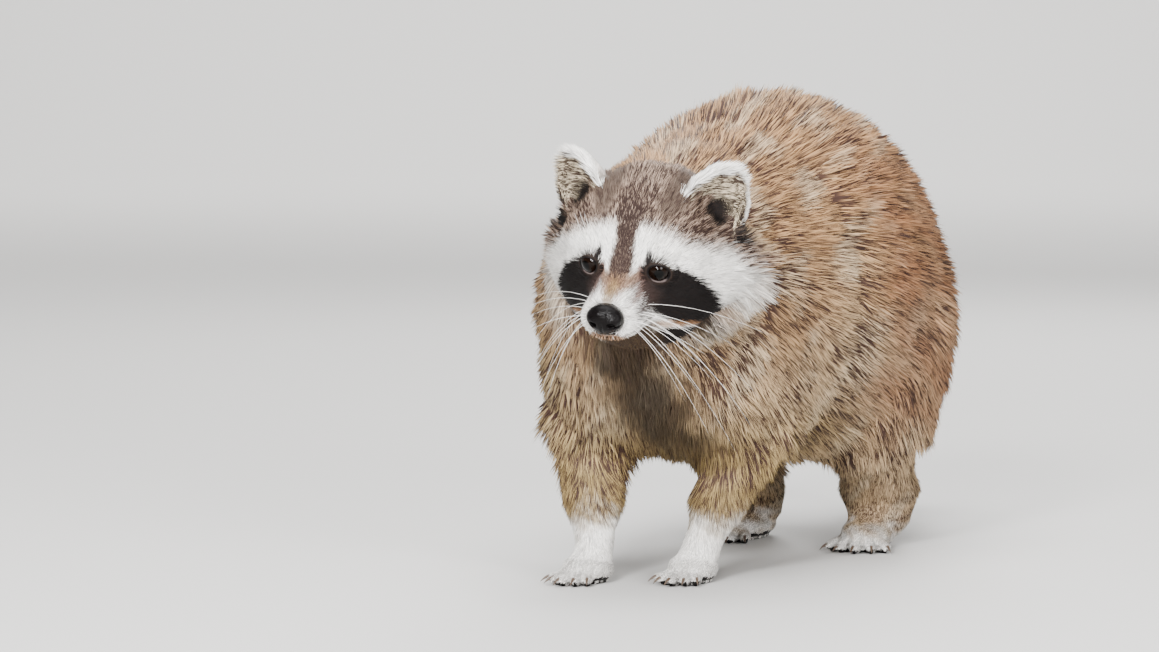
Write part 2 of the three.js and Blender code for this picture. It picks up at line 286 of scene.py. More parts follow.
KINDS = {"value": "FLOAT", "vector": "FLOAT_VECTOR", "color": "FLOAT_COLOR"}


def add_values(mesh, name, values, field="value"):
    """Stores one number, vector or colour for each vertex, for the materials to read."""
    attribute = mesh.attributes.new(name, KINDS[field], "POINT")
    attribute.data.foreach_set(field, np.asarray(values, np.float32).ravel())


def add_colors(mesh, name, values):
    add_values(mesh, name, np.column_stack([values, np.ones(len(values))]), "color")


# %% [markdown]
# ## The blank for the skin
# The solids are parted by thin cuts. Copies of the flesh nodes, swollen by a hair's breadth so that they
# meet, go through a voxel remesh, which melts them into one closed surface of even faces. The face is
# then divided once more, because eyelids and lips need finer faces than a flank does.

# %% Melt the flesh nodes into one blank
VOXEL = 2.3 * mm
SWELL = 0.4 * mm
FLESH = sorted(n for n in nodes if not n.startswith(("eye_", "nose")))

bm = bmesh.new()
for name in [*FLESH, "eye_left", "eye_right"]:  # the skin runs over the eyeballs until the lids are cut
    bm.from_mesh(nodes[name].data)
bmesh.ops.remove_doubles(bm, verts=bm.verts, dist=0.01 * mm)
bm.normal_update()
for vertex in bm.verts:
    vertex.co += vertex.normal * SWELL
blank = object_of("blank", mesh_of("swollen", bm))
remesh = blank.modifiers.new("melt", "REMESH")
remesh.mode, remesh.voxel_size = "VOXEL", VOXEL
melted = bpy.data.meshes.new_from_object(blank.evaluated_get(bpy.context.evaluated_depsgraph_get()))
bpy.data.objects.remove(blank)

FACE = {"back": -22, "side": 60, "low": -50}  # what is divided once more, in the head's frame
FINE_SPOTS = ((22, -34, 9.5, 13), (-22, -34, 9.5, 13), (0, -74, -12, 17))  # place and reach
TOES_HIGH = 20 * mm


def divided(bm, chosen):
    """Divides the edges that join chosen vertices."""
    found = [e for e in bm.edges if chosen[e.verts[0].index] and chosen[e.verts[1].index]]
    bmesh.ops.subdivide_edges(bm, edges=found, cuts=1, use_grid_fill=True)
    bmesh.ops.triangulate(bm, faces=bm.faces)
    bm.verts.index_update()


bm = bmesh.new()
bm.from_mesh(melted)
x, y, z = in_head([v.co for v in bm.verts]).T
divided(bm, (y < FACE["back"]) & (np.abs(x) < FACE["side"]) & (z > FACE["low"]))
local = in_head([v.co for v in bm.verts])
near_spot = [np.linalg.norm(local - spot[:3], axis=1) < spot[3] for spot in FINE_SPOTS]
divided(bm, np.any(near_spot, axis=0) | (np.array([v.co.z for v in bm.verts]) < TOES_HIGH))
skin_mesh = mesh_of("skin", bm)
triangles = numbers_of(skin_mesh.loops, "vertex_index", 1).reshape(-1, 3)
edges = numbers_of(skin_mesh.edges, "vertices", 2)
outline = evened(points_of(skin_mesh), edges, 1)
print("blank:", len(outline), "points,", len(triangles), "triangles")

# %% [markdown]
# ## Which part each point belongs to
# Depth of fur, lie of the hair and markings all differ from part to part. Each point of the blank takes
# the name of the solid it is nearest to, and later the values are evened out so that no border shows.

# %% Name each point's part
tree_points, tree_faces, tree_nodes = [], [], []
for number, name in enumerate(FLESH):
    mesh = nodes[name].data
    start = len(tree_points)
    tree_points += [v.co for v in mesh.vertices]
    for polygon in mesh.polygons:
        tree_faces.append([start + i for i in polygon.vertices])
        tree_nodes.append(number)
tree = BVHTree.FromPolygons(tree_points, tree_faces)
part_of = np.array([tree_nodes[tree.find_nearest(p)[2]] for p in outline.tolist()])


def members(beginnings):
    """The numbers of the nodes whose names begin with one of these words."""
    return [i for i, n in enumerate(FLESH) if n.startswith(tuple(beginnings.split()))]


def on(beginnings):
    """True for each point on these parts."""
    return np.isin(part_of, members(beginnings))


def by_part(values, table):
    """The values, with each row of the table laid over them on its parts."""
    for beginnings, laid in table.items():
        chosen = on(beginnings)
        values = np.where(chosen if values.ndim == 1 else chosen[:, None], laid, values)
    return values


print("points on the head:", on("head").sum(), "and on the trunk:", on("chest belly rump").sum())

# %% [markdown]
# ## How deep the coat is
# A raccoon's fur is a few millimetres deep on the face and wrists, and over twenty on the back and
# tail. The skin lies that far inside the outline. A limb is thinner than the trunk, so its fur is as
# deep as its height above the floor allows.

# %% Coat depth over the body
x, y, z = in_head(outline).T
side_way = np.abs(x)
height = outline[:, 2] / mm

head_depth = 1.3 + 5.7 * smoothstep(-45, 12, y)
head_depth += 9 * smoothstep(38, 74, side_way) * smoothstep(-20, 15, y)
head_depth += 7 * smoothstep(-20, -45, z) * smoothstep(-35, 5, y)
DEPTHS = {  # in millimetres
    "neck": 17,
    "chest shoulder": 19,
    "belly rump": 23,
    "thigh": 20,
    "tail": 19,
    "forearm": 1.4 + 9 * smoothstep(15, 105, height),
    "shank": 2.0 + 13 * smoothstep(16, 70, height),
    "hand foot": 0.7 + 0.9 * smoothstep(9, 22, height),
    "head": head_depth,
    "ear muzzle lower_jaw": 1.2,
}
depth = evened(by_part(np.zeros(len(outline)), DEPTHS), edges, 14)
print("coat depth from", depth.min().round(1), "to", depth.max().round(1), "mm")

# %% Lay the skin inside the outline
SOLE_LIFT = 0.2 * mm  # the bare soles just clear the floor
SOLE_HIGH = 1.2 * mm  # what is under this is sole

out_normals = unit(evened(normals_of(outline, triangles), edges, 8))
skin = outline - out_normals * depth[:, None] * mm
wrist = on("forearm hand shank foot") * smoothstep(13, 20, height) * smoothstep(70, 50, height)
skin = mixed(skin, evened(skin, edges, 10), smoothstep(3, 9, depth))
skin = mixed(skin, evened(skin, edges, 30), wrist)
skin[:, 2] = np.maximum(skin[:, 2], SOLE_LIFT)
sole = outline[:, 2] < SOLE_HIGH
skin[sole] = outline[sole] * (1, 1, 0) + (0, 0, SOLE_LIFT)
print("skin box:", skin.min(0).round(3), skin.max(0).round(3))

# %% [markdown]
# ## Lids, mouth and nose bridge
# The lids are the edge of the skin where it slides over the eyeball. Each point near an eye is moved
# along the eye's line of sight to lie on the ball: just above it outside the almond of the opening, and
# well under it inside, so the lid line is a clean curve. The mouth is a groove along the lips.

# %% Shape the lids
EYE_RADIUS = 8.0  # in millimetres, as are the next three
OPENING = (6.7, 5.7)  # half width and half height
LID = 1.25  # thickness of the lid's edge
UNDER = -2.5  # how far the skin inside the opening goes under the ball's surface
SIGHT = {side: unit(np.array([0.42 * s, -1.0, 0.02])) for side, s in SIDES.items()}


def about_eye(local, side):
    """Distances across, up and out along the line of sight, from the middle of one eye."""
    s, sight = SIDES[side], SIGHT[side]
    outward = unit(np.cross((0, 0, 1), sight)) * s
    upward = unit(np.cross(sight, outward)) * s
    away = local - mirrored(EYE_AT, s)
    return away @ outward, away @ upward, away @ sight


def beyond_lids(across, up):
    """Millimetres outside the almond opening, negative inside."""
    tilted = up + 0.12 * across + 0.6
    stretch = np.hypot(across / OPENING[0], tilted / OPENING[1])
    return (stretch - 1) * OPENING[1]


skin_local = in_head(skin)
lid_distance = np.full(len(skin), 99.0)
lid_below = np.zeros(len(skin))
for side in SIDES:
    across, up, out = about_eye(skin_local, side)
    beyond = beyond_lids(across, up)
    radius = np.hypot(across, up)
    near = (radius < 20) & (out > -5)
    ball = np.sqrt(EYE_RADIUS**2 - np.minimum(radius, 0.88 * EYE_RADIUS) ** 2)
    target = ball + np.clip(beyond * 1.6 + 0.3, UNDER, LID)
    hold = (1 - smoothstep(0.9, 4.2, beyond)) * near
    skin_local += (hold * (target - out))[:, None] * SIGHT[side]
    lid_distance = np.where(near, np.minimum(lid_distance, beyond), lid_distance)
    lid_below += near * smoothstep(-1.5, -3.5, up) * smoothstep(6, 3, np.abs(across))
print("points in the eye openings:", (lid_distance < 0).sum())

# %% Shape the mouth
LIPS = {"height": -18.0, "corner": -42.0, "width": 1.7, "deep": 1.6}


def beyond_lips(local):
    """Distance above or below the line of the closed lips, where there are lips, and far elsewhere."""
    along = smoothstep(LIPS["corner"] + 5, LIPS["corner"] - 2, local[:, 1])
    line = LIPS["height"] + 0.05 * (local[:, 1] + 64) - 2.0 * smoothstep(-60, -42, local[:, 1])
    return np.abs(local[:, 2] - line) + 9 * (1 - along)


head_normals = normals_of(from_head(skin_local), triangles) @ HEAD_AXES
lips = beyond_lips(skin_local)
groove = LIPS["deep"] * (1 - smoothstep(0.2, LIPS["width"], lips)) * on("muzzle lower_jaw")
skin_local -= head_normals * groove[:, None]
skin = by_part(skin, {"head muzzle lower_jaw": from_head(skin_local)})
print("deepest part of the mouth groove:", groove.max().round(1), "mm")

# %% [markdown]
# ## Toes
# Five toes fan out from each pad. The remesh has run them together, so the creases between them are
# pressed in again: a point's bearing from the middle of the pad tells how near it is to a crease.

# %% Press the creases between the toes
STANCE = {  # length of the pad and of a toe in millimetres, and turn in degrees
    "hand_left": (40, 18, -4),
    "hand_right": (40, 18, -10),
    "foot_left": (76, 16, 8),
    "foot_right": (76, 16, -8),
}
TOE_FAN = 17  # degrees from one toe to the next
TOES_START = 0.38  # as a share of the pad's length, from its middle
CREASE = 2.6 * mm
soles = {m["name"].removeprefix("sole_"): np.array(m["pos_m"]) for m in frame["record"]["mounts"]}
crease = np.zeros(len(skin))
for foot, (pad, toe, turn) in STANCE.items():
    x, y, z = ((skin - soles[foot]) / mm).T
    bearing = (np.degrees(np.arctan2(x, -y)) - turn) / TOE_FAN
    between = smoothstep(0.24, 0.5, np.abs(bearing - np.round(bearing))) * (np.abs(bearing) < 2)
    start = pad * TOES_START
    forward = smoothstep(start, start + toe * 0.45, np.hypot(x, y)) * smoothstep(26, 16, z)
    crease = np.maximum(crease, between * forward * on(foot))
skin = skin - normals_of(skin, triangles) * (1, 1, 0.9) * (CREASE * crease)[:, None]
skin[:, 2] = np.maximum(skin[:, 2], SOLE_LIFT)
skin_normals = normals_of(skin, triangles)
print("points in the creases:", (crease > 0.5).sum())

# %% [markdown]
# ## The lie of the coat
# Hair grows away from the nose over the face, back along the trunk while it sinks down the flanks, down
# the legs, and along the tail. Each part gets its own direction, and these are evened out over the skin
# so that one lie runs into the next, as it does at a real shoulder.

# %% Which way the hair lies
EAR_HOLE = ((4.5, 2, 6), (10, 10, 11))  # middle and half sizes in the left ear's frame
EAR_TURNS = {  # degrees about X, Y and Z
    s: np.array(Euler(np.radians((-8, 28 * s, 24 * s)), "XYZ").to_matrix()) for s in SIDES.values()
}


def in_ear(local, s):
    """Head-frame points in one ear's own frame: X across it, -Y out of its cup, Z up to its tip."""
    return (local - mirrored(EAR_AT, s)) @ EAR_TURNS[s]


def from_ear(vector, s):
    return HEAD_AXES @ (EAR_TURNS[s] @ np.asarray(vector, float))


def ear_hole(local, s):
    """One in the mouth of the ear's passage, falling to nothing round it."""
    middle, half = EAR_HOLE
    return smoothstep(1.15, 0.75, np.linalg.norm((in_ear(local, s) - mirrored(middle, s)) / half, axis=1))


def in_cup(normals, s, least=0.25):
    """True where the surface faces out of the ear's cup."""
    return dot(normals, from_ear((0, -1, 0), s)) > least


skin_local = in_head(skin)
nose_tip = np.array([0, NOSE_AT[1] - 8, NOSE_AT[2] + 6])
head_flow = unit(skin_local - nose_tip)
head_flow[:, 2] -= 0.35 * smoothstep(30, 65, np.abs(skin_local[:, 0]))
for side, s in SIDES.items():
    across, up, out = about_eye(skin_local, side)
    push = 1.6 * (1 - smoothstep(4, 15, np.hypot(across, up)))  # hair parts round the eye
    head_flow += unit(skin_local - mirrored(EYE_AT, s)) * push[:, None]
facing_front = smoothstep(0.1, 0.8, -skin_normals[:, 1])
upright = 1 - np.abs(skin_normals[:, 2])
level = np.zeros(len(skin))
TAIL_LINE = np.array([middle_of(f"tail_{i}") for i in range(1, 6)])
LIES = {
    "head muzzle lower_jaw": head_flow @ HEAD_AXES.T,
    "neck chest": mixed(np.array([-0.15, 0.95, -0.25]), np.array([0, 0.1, -1.0]), facing_front),
    "belly rump": np.stack([level, level + 1, -0.15 - 0.55 * upright], axis=1),
    "shoulder": (0, 0.7, -0.85),
    "thigh": (0, 0.35, -1.0),
    "forearm": (0, 0.22, -1.0),
    "shank": (0, -0.05, -1.0),
    "hand foot": (0, -1.0, -0.3),
}
for i in range(5):
    LIES[f"tail_{i + 1}"] = unit(TAIL_LINE[min(i + 1, 4)] - TAIL_LINE[max(i - 1, 0)])
for side, s in SIDES.items():
    inside = in_cup(skin_normals, s)[:, None]
    LIES[f"ear_{side}"] = np.where(inside, from_ear((0.75 * s, 0.1, 0.55), s), from_ear((0, 0, 1), s))
flow = evened(unit(by_part(np.zeros_like(skin), LIES)), edges, 9)
flow = unit(flow - skin_normals * dot(flow, skin_normals)[:, None])
print("mean flow:", flow.mean(0).round(2))

# %% [markdown]
# ## Markings
# The face is a map in the head's frame, seen from the front, with both halves alike: white brows and
# muzzle, the black mask that runs from each eye down over the cheek, a dark stripe from the forehead to
# the tan bridge of the nose, and a second dark patch behind the corner of the mouth. Each marking is a
# streak with round ends, and the distance to it tells how dark a hair is. On the body the colour goes
# by height, and along the tail by length.

# %% Colours of the coat


def paint(code):
    """A colour written as six hexadecimal digits, as the shader counts light."""
    channels = np.array([int(code[i : i + 2], 16) for i in (0, 2, 4)]) / 255
    return np.where(channels < 0.04045, channels / 12.92, ((channels + 0.055) / 1.055) ** 2.4)


WHITE = paint("faf7f2")
CREAM = paint("d9c8ac")
SAND = paint("947d4e")
TAN = paint("b88a63")
BUFF = paint("957053")
ROSE = paint("8d6a5f")
GOLD = paint("b18b63")
ASH = paint("c6aa85")
GREY = paint("bfb2a5")
RUST = paint("9b6847")
GRIZZLE = paint("a38c7b")
SHADED_CHIN_BROWN = paint("4e3d27")
BROWN = paint("4a3a35")
DARK = paint("1c1510")
BLACK = paint("0d0a0a")
EAR_CUP = paint("d6c6ab")
TAIL_DARK = paint("2b211c")


def streak(x, z, chain):
    """Distance to a streak that runs, tapering, from one (x, z, radius) of the chain to the next."""
    found = []
    for (ax, az, ar), (bx, bz, br) in zip(chain, chain[1:]):
        dx, dz = bx - ax, bz - az
        t = np.clip(((x - ax) * dx + (z - az) * dz) / (dx**2 + dz**2), 0, 1)
        found.append(np.hypot(x - ax - t * dx, z - az - t * dz) - (ar + t * (br - ar)))
    return np.min(found, axis=0)


def drift(points, size, seed):
    """Slow uneven variation between -1 and 1 over about `size` metres."""
    turn = np.random.default_rng(seed).normal(size=(3, 4))
    waves = np.sin(points @ turn / size * 2.2 + np.arange(4) * 1.7)
    return (waves[:, 0] * waves[:, 1] + waves[:, 2] * waves[:, 3]) / 1.2


def behind_ear(local):
    """One in the black patch behind each ear, falling to nothing round it."""
    away = np.column_stack([np.abs(local[:, 0]), local[:, 1:]]) - (64, 24, 14)
    return smoothstep(1.2, 0.8, np.linalg.norm(away / (8, 18, 8.5), axis=1))


# %% Markings of the face
STREAKS = {  # chains of (x, z, radius) in the head's frame, in millimetres
    "stripe": ((0, 42, 9), (0, 26, 5.5), (0, 14, 7.5)),
    "bridge": ((0, 7.0, 3.6), (11, 7.5, 3.2)),
    "nose top": ((0, 5, 4.0), (0, 0, 2.8)),
    "eye corner": ((12.5, 12, 1.8), (16.5, 1, 3.2)),
    "mask": ((22, 9.5, 9.3), (35, -10, 14.5), (41.5, -20, 13.6)),
    "mask end": ((38, -22, 9.5), (46.5, -32, 6.0)),
    "mask peak": ((16.5, 21, 1.5), (18.5, 12, 4.5)),
    "mask brown": ((13, 4, 3), (19, -6, 3)),
    "mask edge": ((10, 8, 2), (14, 2, 3)),
    "jaw": ((24, -39, 8.0), (39, -44, 8.5)),
    "lip": ((23, -26.5, 2.6), (41, -32.5, 1.6)),
}


def face_colours(local):
    """Colour and grizzle of the head at points in its own frame."""
    x, y, z = np.abs(local[:, 0]), local[:, 1], local[:, 2]
    away = {name: streak(x, z, chain) for name, chain in STREAKS.items()}
    color, grizzle = WHITE, 0.12

    def lay(coat, share, grizzled):
        nonlocal color, grizzle
        color = mixed(color, coat, share)
        grizzle = grizzle + (grizzled - grizzle) * share

    # cheeks and neck
    lay(GREY, 0.45 * smoothstep(66, 80, x + 0.2 * y), 0.4)
    lay(GOLD, 0.8 * smoothstep(14, -2, np.hypot((x - 53) / 1.1, z + 42)), 0.6)
    lay(SAND, 0.85 * smoothstep(-44, -60, z) * smoothstep(70, 50, x), 0.9)
    lay(ASH, 0.65 * smoothstep(-28, -48, z) * smoothstep(48, 64, x), 0.8)
    # forehead and nape, down to the stripe
    brow_top = 35 - 0.009 * x**2 - 3 * smoothstep(5, 0, x)
    lay(GRIZZLE, smoothstep(-3, 5, z - brow_top), 1.16)
    lay(GRIZZLE, smoothstep(14, 26, y) * smoothstep(2, 16, z), 1.16)
    lay(ASH, smoothstep(24, 40, y) * smoothstep(-14, 2, z) * smoothstep(20, 8, z), 1.0)
    stripe = smoothstep(2.5, -2.0, away["stripe"])
    lay(GRIZZLE, stripe * smoothstep(52, 30, z), 1.48)
    lay(BROWN, 0.35 * stripe * smoothstep(28, 16, z), 1.55)
    # bridge of the nose and corners of the eyes
    in_front = y < -20
    lay(BUFF, 0.9 * smoothstep(2, -2, away["bridge"]) * in_front, 0.7)
    lay(SAND, 0.5 * smoothstep(1.5, -1.5, away["nose top"]), 0.4)
    lay(ROSE, 0.9 * smoothstep(1.5, -1.5, away["eye corner"]) * in_front, 0.6)
    # mask, brown at its inner edge
    mask = np.minimum(away["mask"], away["mask end"])
    lay(BLACK, smoothstep(1.0, -1.2, np.minimum(mask, away["mask peak"])), 0.1)
    brown = 0.5 * smoothstep(6, -3, away["mask brown"])
    lay(BROWN, brown * smoothstep(2, -1, np.minimum(mask, away["mask edge"])), 0.6)
    # round the ears, with black painted shade in the mouth of each ear's passage
    lay(BLACK, behind_ear(local), 0.1)
    lay(DARK, 0.7 * smoothstep(14, 6, np.hypot(x - 24, z - 45)), 0.6)
    for s in SIDES.values():
        lay(BLACK, ear_hole(local, s), 0.0)
    # jaw, lip line and chin, with painted shade under the chin
    lay(BLACK, smoothstep(1.5, -1.5, away["jaw"]), 0.1)
    lay(TAN, 0.6 * smoothstep(1.0, -1.0, away["lip"]), 0.4)
    lay(TAN, 0.9 * smoothstep(-19, -21, z) * smoothstep(14, 9, x) * smoothstep(-38, -46, y), 0.3)
    # painted shade under the chin, over the throat's olive-brown fur
    lay(SHADED_CHIN_BROWN, smoothstep(-21, -24, z) * smoothstep(26, 16, x), 0.9)
    return color, grizzle


# %% Markings of ears, body and tail


def ear_colours(local, normals):
    """Ears: white rims, a pale grizzled cup with black painted shade in the mouth of its passage at its
    base, and a grey back.
    """
    color, grizzle = WHITE, 0.15
    for s in SIDES.values():
        mine = np.sign(local[:, 0]) == s
        x, _, z = in_ear(local, s).T
        inside = in_cup(normals, s, 0.1)
        rim = np.where(x * s < 0, 0.77, 0.88)  # as a share of the ear's half sizes
        cup = smoothstep(0.05, -0.05, np.hypot(x / 25, z / 41) - rim) * inside * mine
        color = mixed(color, EAR_CUP, cup)
        grizzle = np.where(cup > 0.5, 0.95, grizzle)
        # painted shade: black in the mouth of the ear's passage
        hole_shade = ear_hole(local, s) * mine
        color = mixed(color, BLACK, hole_shade)
        grizzle = grizzle * (1 - hole_shade)
        back = ~inside & mine
        color = mixed(color, GREY, 0.8 * smoothstep(30, 14, z) * back)
        color = mixed(color, DARK, smoothstep(20, 8, z) * back)
    return mixed(color, BLACK, behind_ear(local)), grizzle


def body_colours(points):
    """Trunk, neck and legs: browner above and behind, paler below, nearly white at the feet."""
    x, y, z = points.T / mm
    slow = drift(points, 0.07, 3)
    color = mixed(ASH, GOLD, smoothstep(150, 235, z + 20 * slow))
    color = mixed(color, GOLD, 0.8 * smoothstep(-60, -150, y) * smoothstep(120, 190, z))
    hip = smoothstep(-75, 15, y + 22 * slow) * smoothstep(70, 130, z) * smoothstep(325, 250, z)
    color = mixed(color, RUST, (0.62 + 0.2 * drift(points, 0.03, 31)) * hip)
    waves = drift(points * (1, 0.5, 1), 0.024, 8)
    color = mixed(color, CREAM, 0.45 * smoothstep(0.0, 0.8, waves) * (1 - 0.85 * hip))
    legs = smoothstep(140, 80, z) * smoothstep(10, -60, y)
    left_behind = smoothstep(-40, -75, x) * smoothstep(230, 150, z)
    color = mixed(color, SAND, np.maximum(0.9 * legs, 0.6 * left_behind))
    # painted shade: the chest between the forelegs is darkened as if in shadow, over chest fur that is
    # partly dark itself
    chest_shade_middle = 8 - 0.2 * (z - 130) + 6 * drift(points, 0.02, 41)  # dark between the forelegs
    chest_shade = smoothstep(42, 10, np.abs(x - chest_shade_middle)) * smoothstep(-95, -150, y)
    chest_shade *= 0.9 * smoothstep(200, 165, z) * smoothstep(66, 112, z)
    color = mixed(color, DARK, chest_shade)
    socks = smoothstep(58, 30, z + 30 * smoothstep(0, 60, y) + 8 * drift(points, 0.012, 9))
    grizzle = 1.04 + 0.2 * drift(points, 0.022, 14)
    return mixed(color, WHITE, socks), grizzle + (0.08 * legs - 0.8 * socks - 0.9 * chest_shade)


RINGS = 6


def tail_colours(points):
    """Broad buff rings between dark ones, and a dark tip."""
    steps = np.linalg.norm(np.diff(TAIL_LINE, axis=0), axis=1)
    reach = np.concatenate([[0], np.cumsum(steps)])
    nearest = np.full(len(points), 9.0)
    along = np.zeros(len(points))
    for i, start in enumerate(TAIL_LINE[:-1]):
        way = TAIL_LINE[i + 1] - start
        t = np.clip((points - start) @ way / (way @ way), -2 if i == 0 else 0, 2 if i == 3 else 1)
        off = np.linalg.norm(points - start - t[:, None] * way, axis=1)
        along = np.where(off < nearest, reach[i] + t * steps[i], along)
        nearest = np.minimum(nearest, off)
    along = along / reach[-1] + 0.012 * drift(points, 0.02, 5)
    dark = smoothstep(-0.25, 0.25, np.sin((along * (RINGS - 1) + 0.15) * 2 * np.pi) - 0.1)
    dark = np.maximum(dark, smoothstep(0.93, 0.98, along))
    return mixed(mixed(CREAM, TAN, 0.4), TAIL_DARK, dark), 0.8 - 0.6 * dark


def coat_colours(points, normals, part):
    """Colour and grizzle of the coat at world points, by the part each belongs to."""
    local = in_head(points)
    _, y, z = local.T
    color, grizzle = body_colours(points)
    near_head = smoothstep(46, 20, y) * smoothstep(-75, -40, z + 0.3 * y)
    of = {name: np.isin(part, members(name)) for name in ("head muzzle lower_jaw", "neck", "ear", "tail")}
    head_share = np.where(of["head muzzle lower_jaw"], 1.0, near_head * of["neck"])
    face, face_grizzle = face_colours(local)
    color = mixed(color, face, head_share)
    grizzle = grizzle + (face_grizzle - grizzle) * head_share
    whole = {"ear": ear_colours(local, normals), "tail": tail_colours(points)}
    for name, (laid, laid_grizzle) in whole.items():
        color = np.where(of[name][:, None], laid, color)
        grizzle = np.where(of[name], laid_grizzle, grizzle)
    return color, grizzle


skin_color, skin_grizzle = coat_colours(outline, skin_normals, part_of)
skin_color = np.where((on("ear") & (skin_grizzle > 0.5))[:, None], DARK, skin_color)
print("mean colour of the skin:", skin_color.mean(0).round(3))

# %% [markdown]
# ## Materials for skin and fur
# Both read the same stored colours. The hairs of a grizzled coat are dark for most of their length and
# pale at the tip, and how far down the pale part reaches differs from hair to hair; the white hair of the
# face and the black of the mask are one colour down to the shaded root. One node group makes both,
# because each point also stores how grizzled its coat is.

# %% A small kit for node trees


class Nodes:
    """Adds and links nodes in one tree, with inputs given by name."""

    def __init__(self, tree):
        self.tree = tree

    def fill(self, node, inputs):
        """Links each input that is given another node's socket, and sets the others."""
        for key, value in inputs.items():
            if isinstance(value, bpy.types.NodeSocket):
                self.tree.links.new(value, node.inputs[key])
            else:
                node.inputs[key].default_value = value

    def add(self, kind, inputs=None, **settings):
        node = self.tree.nodes.new("ShaderNode" + kind)
        for key, value in settings.items():
            setattr(node, key, value)
        self.fill(node, inputs or {})
        return node

    def ramp(self, value, low, high, to_low=0.0, to_high=1.0, curve="SMOOTHSTEP"):
        inputs = {"Value": value, "From Min": low, "From Max": high, "To Min": to_low, "To Max": to_high}
        return self.add("MapRange", inputs, interpolation_type=curve).outputs["Result"]

    def mix(self, share, a, b, blend="MIX"):
        return self.add("Mix", {0: share, 6: a, 7: b}, data_type="RGBA", blend_type=blend).outputs[2]

    def noise(self, scale, detail=2.0):
        return self.add("TexNoise", {"Scale": scale, "Detail": detail}).outputs["Fac"]

    def cells(self, scale):
        return self.add("TexVoronoi", {"Scale": scale}).outputs["Distance"]

    def bump(self, height, strength, distance):
        inputs = {"Strength": strength, "Distance": distance, "Height": height}
        return self.add("Bump", inputs).outputs["Normal"]

    def stored(self, name, socket="Fac"):
        return self.add("Attribute", attribute_name=name).outputs[socket]


def new_group(name, inputs, outputs):
    group = bpy.data.node_groups.new(name, "ShaderNodeTree")
    for direction, sockets in (("INPUT", inputs), ("OUTPUT", outputs)):
        for socket_name, kind in sockets.items():
            group.interface.new_socket(socket_name, in_out=direction, socket_type=f"NodeSocket{kind}")
    given, result = group.nodes.new("NodeGroupInput"), group.nodes.new("NodeGroupOutput")
    return group, Nodes(group), given.outputs, result


def new_material(name):
    material = bpy.data.materials.new(name)
    material.use_nodes = True
    kit = Nodes(material.node_tree)
    return material, kit, material.node_tree.nodes["Principled BSDF"]


# %% The banding of a hair
numbers = dict.fromkeys(("Along", "Tone", "Grizzle", "Root Shade"), "Float")
colors = {"Coat": "Color", "Ground": "Color"}
banded, kit, given, result = new_group("Banded hair", colors | numbers, {"Color": "Color"})
plain = kit.ramp(given["Along"], 0.0, 0.55, given["Root Shade"], 1.0, "LINEAR")
shift = kit.add("Math", {0: given["Tone"], 1: 0.95, 2: -0.42}, operation="MULTIPLY_ADD").outputs[0]
reach = kit.add("Math", {0: given["Along"], 1: shift}, operation="ADD").outputs[0]
pale = kit.ramp(reach, 0.6, 0.96)
share = kit.add("Mix", {0: given["Grizzle"], 2: plain, 3: pale}, data_type="FLOAT").outputs[0]
value = kit.ramp(given["Tone"], 0.0, 1.0, 0.86, 1.12)
grey = kit.add("CombineColor", {0: value, 1: value, 2: value}).outputs[0]
hair_color = kit.mix(share, given["Ground"], given["Coat"])
kit.fill(result, {"Color": kit.mix(1.0, hair_color, grey, "MULTIPLY")})


# %% The fur's material
def fur_material(name, roughness, ground, root_shade):
    material, kit, shader = new_material(name)
    hair = kit.add("Group", node_tree=banded)
    kit.fill(hair, {stored: kit.stored(stored) for stored in ("Along", "Tone", "Grizzle")})
    kit.fill(hair, {"Coat": kit.stored("Coat", "Color"), "Ground": (*ground, 1), "Root Shade": root_shade})
    color = hair.outputs["Color"]
    kit.fill(shader, {"Base Color": color, "Roughness": roughness, "Specular IOR Level": 0.2})
    return material


long_fur = fur_material("long fur", 0.6, paint("45312a"), 0.5)
short_fur = fur_material("short fur", 0.68, paint("33241f"), 0.7)

# %% The skin's material
skin_material, kit, shader = new_material("hide under the fur")
under = kit.mix(0.7, kit.stored("Coat", "Color"), (0.035, 0.024, 0.019, 1))
speckle = kit.noise(900.0, 3.0)
under = kit.mix(kit.ramp(speckle, 0.35, 0.7, 0.0, 0.4), under, kit.stored("Coat", "Color"))
bare = kit.stored("Bare")
pores = kit.ramp(kit.cells(1400.0), 0.1, 0.6, 0.0, 0.6)
leather = kit.mix(pores, (0.002, 0.0015, 0.0015, 1), (0.007, 0.005, 0.005, 1))
# painted reflection: a pale line along the wet rim of each lower lid
leather = kit.mix(kit.stored("Lid Reflection"), leather, (0.13, 0.1, 0.095, 1))
surface = {
    "Base Color": kit.mix(bare, under, leather),
    "Roughness": kit.ramp(bare, 0.0, 1.0, 0.85, 0.5),
    "Specular IOR Level": 0.1,
    "Normal": kit.bump(speckle, 0.35, 0.0004),
}
kit.fill(shader, surface)
print("materials:", [m.name for m in bpy.data.materials if m.users])

# %% [markdown]
# ## The skin becomes a piece
# The lids' edges, the lips and the pads of the feet have no fur. They are marked as bare, and the
# material makes them dark and a little shiny.
# A pale line along each lower lid is a painted reflection of its wet rim.

# %% Finish the skin


def piece_of(name, mesh, material, slot, *replaced):
    """A finished piece: smooth, in one material, and riding on the body."""
    mesh.polygons.foreach_set("use_smooth", np.ones(len(mesh.polygons), bool))
    mesh.materials.append(material)
    piece = object_of(name, mesh)
    if replaced:
        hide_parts(*replaced)
    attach(piece, "root")
    return piece


move_points(skin_mesh, skin)
lips = beyond_lips(skin_local)
bare_lips = 0.9 * smoothstep(1.5, 0.7, lips) * on("muzzle lower_jaw")
soles_down = on("hand foot") & (skin_normals[:, 2] < -0.4)
bare = np.max([smoothstep(1.4, 0.7, lid_distance), bare_lips, soles_down], axis=0)
